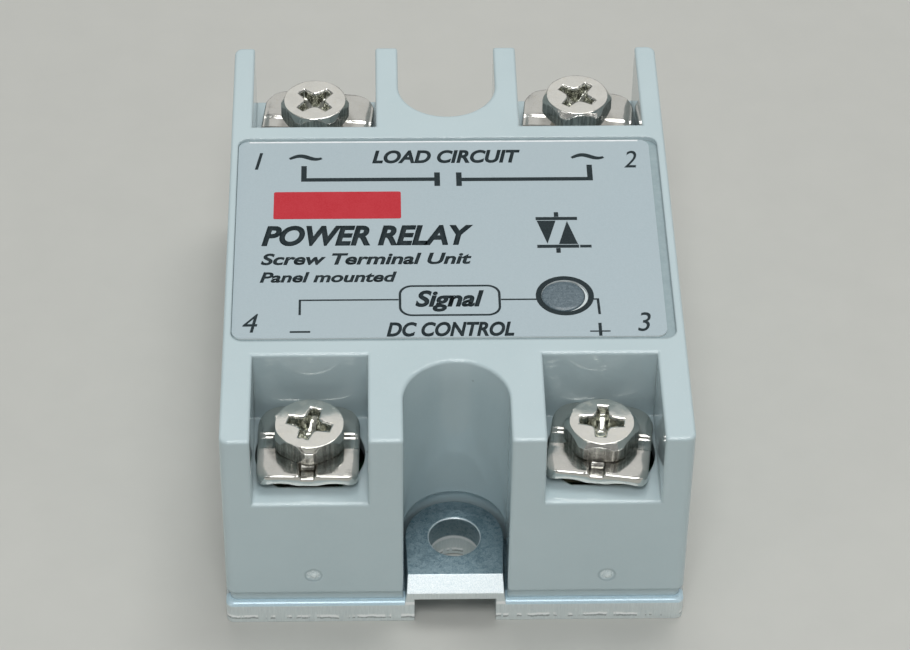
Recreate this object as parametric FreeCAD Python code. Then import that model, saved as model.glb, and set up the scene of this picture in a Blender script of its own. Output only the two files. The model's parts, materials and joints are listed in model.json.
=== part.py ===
import FreeCAD, Part
import os
from math import cos, sin, radians, sqrt
from FreeCAD import Vector, Matrix

os.makedirs("parts", exist_ok=True)

# Solid state relay, panel-mount "puck" format, with four screw terminals.
# Frame: millimetres, origin at the bottom centre of the steel base plate.
# +X right, +Y towards the load (output) terminals 1 and 2, +Z up.
# The control (input) terminals 3 and 4 are at the -Y end.

# ---------------------------------------------------------------- dimensions
# base plate
PLATE_HX, PLATE_HY, PLATE_T = 22.57, 30.28, 2.6
PLATE_CORNER_R, PLATE_ROLL_R = 0.8, 0.5
HOLE_Y = 23.8                  # the two fixings are 47.6 apart
BORE_R = 2.5                   # bolt hole
EAR_TOP = 5.15                 # top of the pressed-up ear
EAR_HW_BASE, EAR_HW_FRONT, EAR_R_TOP = 5.0, 4.62, 4.85
EAR_CAV_HW, EAR_CAV_H = 4.02, 3.05
EAR_BEVEL_Y, EAR_BEVEL_Z = 28.88, 3.83
COLLAR_R = 3.3                 # extruded collar round the bolt hole
# housing
HX, HY, H = 22.5, 30.0, 24.67
SKIRT_TOP, SKIRT_INSET = 3.9, 0.38
NOTCH_HW = 5.12
NOTCH_F_YC, NOTCH_R_YC = -24.2, 23.5
NOTCH_RELIEF_R, NOTCH_RELIEF_Z = 5.62, 6.7
WELL_F = dict(x0=8.45, x1=19.6, y=-18.05, z=16.2)
WELL_R = dict(x0=7.5, x1=20.35, y=16.75, z=17.3)
FLOOR_HOLE_R_F, FLOOR_HOLE_R_R = 5.35, 5.9
SLAB = 1.5                     # thickness of the wells' floors
WALL = 1.6
ROOF_Z = 22.6                  # underside of the roof
RECESS = dict(x0=-21.75, x1=21.67, y0=-16.03, y1=14.7, z=24.22, r=1.2)
EDGE_R = 0.3
LED_X, LED_Y, LED_HOLE_R = 11.02, -9.54, 2.33
# label
LABEL = dict(x0=-21.68, x1=20.8, y0=-15.4, y1=14.5, t=0.2, r=1.0)
# circuit board
PCB_Z0, PCB_Z1 = 8.2, 9.8
# terminals: number -> x, y, turn of the head, turn of the cross, turn of the washer, head gap
TERM_XF, TERM_YF = 14.1, -23.15
TERM_XR, TERM_YR = 13.95, 23.9
PAD_TOP_F, PAD_TOP_R = 16.93, 17.88     # top of the terminal plates
WASHER_T, WASHER_RIB = 0.98, 0.27       # plate thickness, rib under it
WASHER_HOLE_R = 1.92
HEAD_AF, HEAD_R, HEAD_H = 6.65, 3.62, 2.2
HEAD_TOP_R = 3.1
SCREW_NECK_R, SCREW_NECK_L = 1.72, 2.95
SCREW_R, SCREW_L, PITCH = 2.0, 8.0, 0.7
TAP_R = 2.06                   # terminal thread, modelled plain, 0.06 clear of the screw
SEAT = 0.02                    # gap between pieces that touch but move apart

TERMINALS = {
    1: dict(x=-TERM_XR, y=TERM_YR, pad=PAD_TOP_R, size=11.1, wide=11.75, corner=2.2, head=0.0, cross=-1.5, wash=-6.0, gap=1.05, dx=0.12, dy=-0.10),
    2: dict(x=TERM_XR, y=TERM_YR, pad=PAD_TOP_R, size=11.1, wide=11.75, corner=2.2, head=5.0, cross=8.0, wash=-6.0, gap=1.60, dx=0.12, dy=-0.10),
    3: dict(x=TERM_XF, y=TERM_YF, pad=PAD_TOP_F, size=9.85, wide=9.85, corner=2.3, head=-5.0, cross=-6.2, wash=-8.0, gap=0.0, dx=-0.05, dy=-0.17),
    4: dict(x=-TERM_XF, y=TERM_YF, pad=PAD_TOP_F, size=9.85, wide=9.85, corner=2.3, head=30.0, cross=-17.0, wash=-1.0, gap=0.0, dx=-0.12, dy=-0.12),
}


# ------------------------------------------------------------------- helpers
def box(x0, x1, y0, y1, z0, z1):
    return Part.makeBox(x1 - x0, y1 - y0, z1 - z0, Vector(x0, y0, z0))


def cyl(x, y, z0, z1, r, axis=None):
    if axis is None:
        return Part.makeCylinder(r, z1 - z0, Vector(x, y, z0), Vector(0, 0, 1))
    raise ValueError(axis)


def fuse(*s):
    out = s[0]
    for o in s[1:]:
        out = out.fuse(o)
    return out.removeSplitter()


def cut(a, *s):
    for o in s:
        a = a.cut(o)
    return a.removeSplitter()


def turned(s, deg, x, y):
    s = s.copy()
    s.rotate(Vector(x, y, 0), Vector(0, 0, 1), deg)
    return s


def moved(s, x, y, z):
    s = s.copy()
    s.translate(Vector(x, y, z))
    return s


def near(a, b, e=1e-4):
    return abs(a - b) < e


def edges_if(shape, test):
    return [e for e in shape.Edges if test(e)]


def vertical(e):
    if len(e.Vertexes) != 2:
        return False
    a, b = e.Vertexes[0].Point, e.Vertexes[1].Point
    return near(a.x, b.x) and near(a.y, b.y) and abs(a.z - b.z) > 0.05


def rbox(x0, x1, y0, y1, z0, z1, r):
    b = box(x0, x1, y0, y1, z0, z1)
    return b.makeFillet(r, edges_if(b, vertical))


def one(shape):
    """The single solid inside a boolean's result."""
    s = [x for x in shape.Solids if x.Volume > 1e-4]
    if len(s) != 1:
        raise RuntimeError("expected one solid, got %d: %s" % (len(s), [round(x.Volume, 3) for x in s]))
    return s[0]


def save(name, shape):
    solids = [s for s in shape.Solids]
    assert solids and all(s.isValid() and s.Volume > 0 for s in solids), name
    (solids[0] if len(solids) == 1 else Part.makeCompound(solids)).exportStep("parts/%s.step" % name)
    b = shape.BoundBox
    print("%-20s solids %d  vol %9.2f  x %.2f..%.2f y %.2f..%.2f z %.2f..%.2f" % (
        name, len(solids), shape.Volume, b.XMin, b.XMax, b.YMin, b.YMax, b.ZMin, b.ZMax))


def u_shape(hw, yc, ysign, z0, z1, far=32.0):
    """A U-shaped cutter: round end at yc, straight sides running out to the edge at ysign*far."""
    y0, y1 = sorted((yc, ysign * far))
    return fuse(box(-hw, hw, y0, y1, z0, z1), cyl(0, yc, z0, z1, hw))


# ---------------------------------------------------------------- base plate
def ear(sign):
    """Pressed-up ear round one fixing, with drafted sides and a bevelled nose. Built at -Y, mirrored for +Y."""
    def outline(z, hwf, r):
        yc = -HOLE_Y
        p = [Vector(-hwf, -PLATE_HY, z), Vector(-r, yc, z), Vector(0, yc + r, z), Vector(r, yc, z), Vector(hwf, -PLATE_HY, z)]
        return Part.Wire([Part.LineSegment(p[0], p[1]).toShape(), Part.Arc(p[1], p[2], p[3]).toShape(),
                          Part.LineSegment(p[3], p[4]).toShape(), Part.LineSegment(p[4], p[0]).toShape()])
    e = Part.makeLoft([outline(PLATE_T - 0.6, EAR_HW_BASE, EAR_HW_BASE), outline(EAR_TOP, EAR_HW_FRONT, EAR_R_TOP)], True, True)
    # bevelled nose
    w = Part.Face(Part.makePolygon([Vector(-8, -EAR_BEVEL_Y, EAR_TOP), Vector(-8, -PLATE_HY - 3, EAR_TOP - (PLATE_HY + 3 - EAR_BEVEL_Y) * (EAR_TOP - EAR_BEVEL_Z) / (PLATE_HY - EAR_BEVEL_Y)),
                                    Vector(-8, -PLATE_HY - 3, EAR_TOP + 2), Vector(-8, -EAR_BEVEL_Y, EAR_TOP + 2), Vector(-8, -EAR_BEVEL_Y, EAR_TOP)]))
    e = e.cut(w.extrude(Vector(16, 0, 0)))
    if sign > 0:
        e = e.mirror(Vector(0, 0, 0), Vector(0, 1, 0))
    return e


def make_base():
    p = rbox(-PLATE_HX, PLATE_HX, -PLATE_HY, PLATE_HY, 0, PLATE_T, PLATE_CORNER_R)
    top = edges_if(p, lambda e: near(e.BoundBox.ZMin, PLATE_T) and near(e.BoundBox.ZMax, PLATE_T))
    p = p.makeFillet(PLATE_ROLL_R, top)
    p = fuse(p, ear(-1), ear(1))
    for s in (-1, 1):
        y0, y1 = sorted((s * HOLE_Y, s * (PLATE_HY + 2)))
        p = cut(p, fuse(box(-EAR_CAV_HW, EAR_CAV_HW, y0, y1, -1, EAR_CAV_H), cyl(0, s * HOLE_Y, -1, EAR_CAV_H, EAR_CAV_HW)))
    p = fuse(p, cyl(0, -HOLE_Y, 0.1, EAR_CAV_H + 0.3, COLLAR_R))
    p = cut(p, cyl(0, -HOLE_Y, -1, 8, BORE_R))
    p = cut(p, u_shape(BORE_R, HOLE_Y, 1, -1, 8, PLATE_HY + 2))
    rim = edges_if(p, lambda e: near(e.BoundBox.ZMin, EAR_TOP) and near(e.BoundBox.ZMax, EAR_TOP) and e.BoundBox.YMax < -HOLE_Y + BORE_R + 0.05
                   and e.BoundBox.YMin > -HOLE_Y - BORE_R - 0.05 and e.BoundBox.XLength < 2 * BORE_R + 0.01)
    if rim:
        p = p.makeFillet(0.24, rim)
    return one(p)


# ------------------------------------------------------------------- housing
def cavity(z_front=WELL_F["z"] - SLAB, z_rear=WELL_R["z"] - SLAB, z_mid=ROOF_Z, z0=0.0, inset=0.0):
    """The hollow inside the housing, open downwards. It is as high as the roof in the middle and lower under the wells."""
    i = inset
    a = box(-20.9 + i, 20.9 - i, -16.5 + i, 15.2 - i, z0, z_mid)
    parts = [a]
    for s in (-1, 1):
        x0, x1 = sorted((s * (6.75 + i), s * (20.9 - i)))
        parts.append(box(x0, x1, -28.4 + i, -16.0, z0, z_front))
        x0, x1 = sorted((s * (6.9 + i), s * (20.8 - i)))
        parts.append(box(x0, x1, 14.8, 28.4 - i, z0, z_rear))
    return fuse(*parts)


def make_housing():
    h = rbox(-HX, HX, -HY, HY, SKIRT_TOP, H, 0.9)
    k = SKIRT_INSET
    skirt = rbox(-HX + k, HX - k, -HY + k, HY - k, PLATE_T, SKIRT_TOP + 1.0, 0.7)
    # drafted step between wall and skirt is left square: it is a shadow line 0.38 deep
    h = fuse(h, skirt)
    h = cut(h, u_shape(NOTCH_HW, NOTCH_F_YC, -1, 0, 30), u_shape(NOTCH_HW, NOTCH_R_YC, 1, 0, 30))
    for s in (-1, 1):
        x0, x1 = sorted((s * WELL_F["x0"], s * WELL_F["x1"]))
        h = h.cut(box(x0, x1, -40, WELL_F["y"], WELL_F["z"], 30))
        x0, x1 = sorted((s * WELL_R["x0"], s * WELL_R["x1"]))
        h = h.cut(box(x0, x1, WELL_R["y"], 40, WELL_R["z"], 30))
    # small radii on every outer edge that a hand would feel
    def outer(e):
        b = e.BoundBox
        top = near(b.ZMin, H) and near(b.ZMax, H)
        front = near(b.YMin, -HY) and near(b.YMax, -HY) and b.ZMax > SKIRT_TOP + 0.1
        rear = near(b.YMin, HY) and near(b.YMax, HY) and b.ZMax > SKIRT_TOP + 0.1
        return (top or front or rear) and b.ZMin > SKIRT_TOP - 0.01 and not (near(b.ZMax, SKIRT_TOP))
    h = h.makeFillet(EDGE_R, edges_if(h, outer))
    # relief round the ears, below a step in the notches
    for yc, s in ((NOTCH_F_YC, -1), (NOTCH_R_YC, 1)):
        h = h.cut(cyl(0, yc, 0, NOTCH_RELIEF_Z, NOTCH_RELIEF_R))
    # round holes in the wells' floors, over the terminal plates
    for s in (-1, 1):
        c = cyl(s * TERM_XF, TERM_YF, 10, WELL_F["z"] + 0.5, FLOOR_HOLE_R_F).common(box(-30, 30, -27.55, WELL_F["y"] - 0.02, 0, 30))
        h = h.cut(c)
        c = cyl(s * TERM_XR, TERM_YR, 10, WELL_R["z"] + 0.5, FLOOR_HOLE_R_R).common(box(-30, 30, WELL_R["y"] + 0.3, 28.4, 0, 30))
        h = h.cut(c)
    # label recess
    r = RECESS
    h = h.cut(rbox(r["x0"], r["x1"], r["y0"], r["y1"], r["z"], 30, r["r"]))
    # inside
    h = h.cut(cavity(z0=0))
    # four ledges that the circuit board is pushed up against
    for sx in (-1, 1):
        for sy in (-1, 1):
            x0, x1 = sorted((sx * 19.3, sx * 21.2))
            y0, y1 = sorted((sy * 9.0, sy * 12.0))
            h = h.fuse(box(x0, x1, y0, y1, PCB_Z1, ROOF_Z + 0.2))
    # window for the indicator, with a seat for the window disc behind it
    h = h.cut(cyl(LED_X, LED_Y, 20, 30, LED_HOLE_R))
    # two moulding gate marks on the front face: a shallow disc with a broken nib
    for gx, gz in ((-13.9, 6.3), (14.8, 6.05)):
        d = Part.makeCylinder(0.82, 0.14, Vector(gx, -HY + 0.12, gz), Vector(0, -1, 0))
        h = h.cut(d)
        h = h.fuse(Part.makeCone(0.42, 0.25, 0.14, Vector(gx + 0.1, -HY + 0.13, gz - 0.1), Vector(0, -1, 0)))
    return one(h.removeSplitter())


# ------------------------------------------------------------ label, window
def make_label():
    l = LABEL
    s = rbox(l["x0"], l["x1"], l["y0"], l["y1"], RECESS["z"], RECESS["z"] + l["t"], l["r"])
    return one(cut(s, cyl(LED_X, LED_Y, 20, 30, 2.30)))


def make_window():
    d = fuse(cyl(LED_X, LED_Y, ROOF_Z - 0.8, ROOF_Z, 3.4), cyl(LED_X, LED_Y, ROOF_Z - 0.8, 23.75, LED_HOLE_R - 0.02))
    # slightly dished outer face
    return one(cut(d, Part.makeSphere(14.0, Vector(LED_X, LED_Y, 23.75 + 13.9))))


# ------------------------------------------------------------ terminal parts
def make_washer(t):
    """Clamp washer: stamped cross of channels with ribs beneath, two small front corners and two large rear ones."""
    half, side = t["size"] / 2.0, t["wide"] / 2.0
    r_front, r_rear, arch = 0.8, t["corner"], 0.3
    z0 = WASHER_RIB
    # outline, rear edge arched
    def outline(z):
        p0, p1 = Vector(-side, -half, z), Vector(side, -half, z)
        p2, p3 = Vector(side, half - arch, z), Vector(-side, half - arch, z)
        pm = Vector(0, half, z)
        return Part.Face(Part.Wire([Part.LineSegment(p0, p1).toShape(), Part.LineSegment(p1, p2).toShape(),
                                    Part.Arc(p2, pm, p3).toShape(), Part.LineSegment(p3, p0).toShape()]))
    w = outline(0).extrude(Vector(0, 0, z0 + WASHER_T))
    front = edges_if(w, lambda e: vertical(e) and e.BoundBox.YMax < 0)
    w = w.makeFillet(r_front, front)
    back = edges_if(w, lambda e: vertical(e) and e.BoundBox.YMin > half - arch - 0.05)
    w = w.makeFillet(r_rear, back)
    topz = z0 + WASHER_T
    w = w.makeFillet(0.22, edges_if(w, lambda e: near(e.BoundBox.ZMin, topz) and near(e.BoundBox.ZMax, topz)))
    # underside: hollow between the ribs and the dipped corners
    rib_hw, ch_hw, ch_d = 1.05, 0.75, 0.42
    for a in (0, 90, 180, 270):
        for sx in (-1, 1):
            x0 = rib_hw
            x1 = half - 0.75
            xm, hl = (x0 + x1) / 2.0, (x1 - x0) / 2.0
            sag = z0 * 1.25
            R = (hl * hl + sag * sag) / (2 * sag)
            c = Part.makeCylinder(R, half + 2.0, Vector(sx * xm, -half - 2.0, sag - R), Vector(0, 1, 0))
            lim = box(min(sx * x0, sx * x1), max(sx * x0, sx * x1), -half - 1, -1.2, -1, 3)
            w = w.cut(turned(c.common(lim), a, 0, 0))
        # channel on top
        ch = box(-ch_hw, ch_hw, -half - 1, -1.0, topz - ch_d, topz + 1)
        ch = ch.makeChamfer(0.18, edges_if(ch, lambda e: near(e.BoundBox.ZMin, topz - ch_d) and near(e.BoundBox.ZMax, topz - ch_d) and e.BoundBox.YLength > 2))
        w = w.cut(turned(ch, a, 0, 0))
    w = w.cut(cyl(0, 0, -1, 5, WASHER_HOLE_R))
    w = one(w.removeSplitter())
    w.rotate(Vector(0, 0, 0), Vector(0, 0, 1), t["wash"])
    w.translate(Vector(t["x"] + t["dx"], t["y"] + t["dy"], t["pad"] + SEAT))
    return w


def make_screw(t):
    """Cross-recess screw with a hexagonally trimmed head. Local origin: centre of the head's underside."""
    head = cyl(0, 0, 0, HEAD_H, HEAD_R)
    hexa = Part.makePolygon([Vector(HEAD_AF / sqrt(3) * cos(radians(60 * i)), HEAD_AF / sqrt(3) * sin(radians(60 * i)), 0) for i in range(7)])
    # a hexagon with corners on X has flats facing -Y
    head = head.common(Part.Face(hexa).extrude(Vector(0, 0, HEAD_H)))
    # conical chamfer on top, a small one beneath
    prof = Part.Face(Part.makePolygon([Vector(0, 0, 0), Vector(HEAD_R - 0.22, 0, 0), Vector(HEAD_R + 0.02, 0, 0.24), Vector(HEAD_R + 0.02, 0, HEAD_H - 0.62),
                                       Vector(HEAD_TOP_R + 0.12, 0, HEAD_H - 0.07), Vector(HEAD_TOP_R, 0, HEAD_H), Vector(0, 0, HEAD_H), Vector(0, 0, 0)]))
    head = head.common(prof.revolve(Vector(0, 0, 0), Vector(0, 0, 1), 360))
    head.rotate(Vector(0, 0, 0), Vector(0, 0, 1), t["head"])
    # cross recess: two wedge slots and a tapered centre
    def wedge(w):
        a = Part.Face(Part.makePolygon([Vector(-2.08, -w, HEAD_H + 0.1), Vector(-1.88, -w, HEAD_H - 0.55), Vector(-0.85, -w, HEAD_H - 1.5),
                                        Vector(0.85, -w, HEAD_H - 1.5), Vector(1.88, -w, HEAD_H - 0.55), Vector(2.08, -w, HEAD_H + 0.1), Vector(-2.08, -w, HEAD_H + 0.1)]))
        return a.extrude(Vector(0, 2 * w, 0))
    rec = fuse(wedge(0.5), turned(wedge(0.5), 90, 0, 0))
    c0 = Part.makePolygon([Vector(1.28 * cos(radians(90 * i)), 1.28 * sin(radians(90 * i)), HEAD_H + 0.02) for i in range(5)])
    c1 = Part.makePolygon([Vector(0.8 * cos(radians(90 * i)), 0.8 * sin(radians(90 * i)), HEAD_H - 1.62) for i in range(5)])
    rec = fuse(rec, Part.makeLoft([c1, c0], True, True))
    rec.rotate(Vector(0, 0, 0), Vector(0, 0, 1), t["cross"] + (45.0 if t["y"] > 0 else 0.0))
    head = head.cut(rec)
    # neck and thread: the thread is a row of 60 degree rings at the real pitch
    pts = [(0, 0.0), (SCREW_NECK_R, 0.0), (SCREW_NECK_R, -SCREW_NECK_L)]
    z = -SCREW_NECK_L
    root = SCREW_R - 0.4
    pts.append((root, z - 0.12))
    z -= 0.12
    while z - PITCH > -SCREW_L + 0.45:
        pts += [(SCREW_R, z - 0.29), (SCREW_R, z - 0.41), (root, z - PITCH)]
        z -= PITCH
    pts += [(root, -SCREW_L + 0.12), (root - 0.25, -SCREW_L), (0, -SCREW_L), (0, 0)]
    shank = Part.Face(Part.makePolygon([Vector(r, 0, zz) for r, zz in pts])).revolve(Vector(0, 0, 0), Vector(0, 0, 1), 360)
    s = one(fuse(head, shank))
    z_head = t["pad"] + SEAT + WASHER_RIB + WASHER_T + SEAT + t["gap"]
    s.translate(Vector(t["x"], t["y"], z_head))
    return s


def make_terminal(t):
    """Terminal plate: a tapped pad with an extruded collar, and a leg down to the circuit board."""
    rear = t["y"] > 0
    hw = 4.25 if rear else 3.85
    inner = -1 if rear else 1          # the leg is on the side nearer the relay's middle
    pad = rbox(t["x"] - hw, t["x"] + hw, t["y"] - hw, t["y"] + hw, t["pad"] - 1.0, t["pad"], 0.6)
    collar = cyl(t["x"], t["y"], t["pad"] - 3.7, t["pad"] - 0.9, 3.0)
    off = hw - 0.1
    y0, y1 = sorted((t["y"] + inner * (off - 0.2), t["y"] + inner * (off + 0.6)))
    leg = box(t["x"] - 2.0, t["x"] + 2.0, y0, y1, PCB_Z0 + 0.3, t["pad"])
    ya, yb = y0, y1
    tail = box(t["x"] - 1.1, t["x"] + 1.1, ya, yb, PCB_Z0 - 0.9, PCB_Z0 + 0.3)
    leg = cut(leg, box(t["x"] - 3, t["x"] - 1.1, ya - 1, yb + 1, PCB_Z0 - 2, PCB_Z1), box(t["x"] + 1.1, t["x"] + 3, ya - 1, yb + 1, PCB_Z0 - 2, PCB_Z1))
    b = fuse(pad, collar, leg, tail)
    b = cut(b, cyl(t["x"], t["y"], 0, 30, TAP_R))
    return one(b)


# ------------------------------------------------------------ inner pieces
def leaded(body, leads):
    return one(fuse(body, *leads))


def axial(x, y, z, length, r, span, along="x", lead_r=0.35):
    """An axial component lying on the board, with both leads bent down through it."""
    d = Vector(1, 0, 0) if along == "x" else Vector(0, 1, 0)
    body = Part.makeCylinder(r, length, Vector(x, y, z) - d * (length / 2.0), d)
    ends = edges_if(body, lambda e: len(e.Vertexes) == 1)
    body = body.makeFillet(0.35, ends)
    lead = Part.makeCylinder(lead_r, span, Vector(x, y, z) - d * (span / 2.0), d)
    downs = []
    for s in (-1, 1):
        c = Vector(x, y, z) + d * (s * span / 2.0)
        downs.append(Part.makeCylinder(lead_r, z - (PCB_Z0 - 0.7), Vector(c.x, c.y, PCB_Z0 - 0.7), Vector(0, 0, 1)))
        downs.append(Part.makeSphere(lead_r, c))
    return one(fuse(body, lead, *downs))


def make_board():
    b = box(-20.3, 20.3, -28.0, 28.0, PCB_Z0, PCB_Z1)
    b = cut(b, box(-7.2, 7.2, -30, -16.1, 0, 20), box(-7.3, 7.3, 14.8, 30, 0, 20))
    return b


def make_opto():
    b = rbox(-4.45, 4.45, -3.2, 3.2, 0.9, 4.3, 0.2)
    b = b.cut(cyl(-3.5, -2.2, 4.1, 5, 0.5))
    legs = []
    for i in (-1, 0, 1):
        for s in (-1, 1):
            x = i * 2.54
            y0, y1 = sorted((s * 3.1, s * 4.05))
            legs.append(box(x - 0.6, x + 0.6, y0, y1, 2.2, 2.45))
            y0, y1 = sorted((s * 3.8, s * 4.05))
            legs.append(box(x - 0.28, x + 0.28, y0, y1, -2.3, 2.45))
    return moved(leaded(b, legs), 6.5, 2.5, PCB_Z1)


def make_triac():
    """Insulated-tab power triac lying on its thermal pad, its leads bent up into the board."""
    z = PLATE_T + 0.4
    tab = rbox(-5.1, 5.1, -8.0, 8.0, z, z + 1.3, 0.3)
    tab = tab.cut(cyl(0, -5.3, 0, 20, 1.85))
    body = box(-5.1, 5.1, -1.3, 8.0, z + 0.4, z + 4.5)
    body = body.makeChamfer(0.4, edges_if(body, lambda e: near(e.BoundBox.ZMin, z + 4.5) and near(e.BoundBox.ZMax, z + 4.5)))
    t = fuse(tab, body)
    leads = []
    for i in (-1, 0, 1):
        x = i * 2.54
        leads.append(box(x - 0.4, x + 0.4, 7.8, 10.6, z + 2.0, z + 2.5))
        leads.append(box(x - 0.4, x + 0.4, 10.1, 10.6, z + 2.0, PCB_Z1 + 0.8))
    return leaded(t, leads)


def make_cap():
    b = rbox(-6.5, 6.5, -3.0, 3.0, 0.0, 11.0, 0.5)
    legs = [cyl(x, 0, -2.4, 0.3, 0.4) for x in (-5.0, 5.0)]
    return moved(leaded(b, legs), -10.5, 9.0, PCB_Z1)


def make_led():
    z1 = 21.4
    b = fuse(cyl(0, 0, z1 - 4.0, z1 - 1.5, 1.5), Part.makeSphere(1.5, Vector(0, 0, z1 - 1.5)), cyl(0, 0, z1 - 4.6, z1 - 3.9, 1.85))
    legs = [box(x - 0.25, x + 0.25, -0.25, 0.25, PCB_Z0 - 0.8, z1 - 4.3) for x in (-1.27, 1.27)]
    return moved(leaded(b, legs), LED_X, LED_Y, 0)


def make_transistor():
    b = cyl(0, 0, 3.2, 7.8, 2.3).common(box(-3, 3, -3, 1.3, 0, 20))
    legs = [box(x - 0.25, x + 0.25, -0.25, 0.25, -2.4, 3.4) for x in (-1.27, 0, 1.27)]
    return moved(leaded(b, legs), -3.5, -9.5, PCB_Z1)


INNER = {}


def build_inner():
    board = make_board()
    INNER["optocoupler"] = make_opto()
    INNER["power_triac"] = make_triac()
    INNER["snubber_capacitor"] = make_cap()
    INNER["indicator_led"] = make_led()
    INNER["input_transistor"] = make_transistor()
    INNER["snubber_resistor"] = axial(-10.5, 3.4, PCB_Z1 + 1.9, 9.0, 1.6, 12.7)
    INNER["gate_resistors"] = Part.makeCompound([axial(13.8, 8.2, PCB_Z1 + 1.3, 6.3, 1.15, 9.0), axial(13.8, 11.6, PCB_Z1 + 1.3, 6.3, 1.15, 9.0)])
    INNER["input_resistor"] = axial(-12.3, -9.0, PCB_Z1 + 1.6, 9.0, 1.5, 12.7, "x")
    INNER["protection_diode"] = axial(2.5, -13.2, PCB_Z1 + 1.5, 5.0, 1.3, 8.5, "x")
    return board


def make_pad():
    return rbox(-6.5, 6.5, -9.0, 9.5, PLATE_T, PLATE_T + 0.4, 0.5)


def make_resin(others):
    """Potting resin over the plate and round the triac, which bonds the housing to the plate."""
    r = cavity(z_front=7.0, z_rear=7.0, z_mid=7.0, z0=PLATE_T)
    for o in others:
        r = r.cut(o)
    return one(r.removeSplitter())


# --------------------------------------------------------------------- build
base = make_base()
housing = make_housing()
save("base_plate", base)
save("housing", housing)
save("nameplate", make_label())
save("indicator_window", make_window())

terminals = {n: make_terminal(t) for n, t in TERMINALS.items()}
for n, t in TERMINALS.items():
    save("terminal_plate_%d" % n, terminals[n])
    save("clamp_washer_%d" % n, make_washer(t))
    save("terminal_screw_%d" % n, make_screw(t))

board = build_inner()
for name, s in INNER.items():
    for solid in s.Solids:
        board = board.cut(solid)
for s in terminals.values():
    board = board.cut(s)
board = one(board.removeSplitter())
save("circuit_board", board)
for name, s in INNER.items():
    save(name, s)
pad = make_pad()
save("thermal_pad", pad)
save("potting_resin", make_resin([pad, INNER["power_triac"], board] + list(terminals.values())))
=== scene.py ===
import json
import math
import bpy
import bmesh
import numpy as np
from mathutils import Vector, Matrix


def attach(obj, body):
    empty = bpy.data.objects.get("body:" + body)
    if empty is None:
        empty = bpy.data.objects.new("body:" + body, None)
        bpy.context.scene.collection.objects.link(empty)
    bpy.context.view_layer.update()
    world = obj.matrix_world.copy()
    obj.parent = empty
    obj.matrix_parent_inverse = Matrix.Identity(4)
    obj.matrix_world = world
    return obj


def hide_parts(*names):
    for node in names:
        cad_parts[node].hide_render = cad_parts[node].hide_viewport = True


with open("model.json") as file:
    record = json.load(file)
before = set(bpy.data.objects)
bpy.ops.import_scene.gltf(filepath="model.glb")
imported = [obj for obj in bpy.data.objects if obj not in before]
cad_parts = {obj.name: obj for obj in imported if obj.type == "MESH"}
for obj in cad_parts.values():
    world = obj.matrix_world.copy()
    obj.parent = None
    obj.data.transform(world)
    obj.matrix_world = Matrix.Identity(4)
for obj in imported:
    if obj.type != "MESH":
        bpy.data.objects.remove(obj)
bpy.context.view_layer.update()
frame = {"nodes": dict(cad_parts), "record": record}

MM = 0.001
NODES = frame["nodes"]
SCENE = bpy.context.scene
ROOT = "root"


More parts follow.
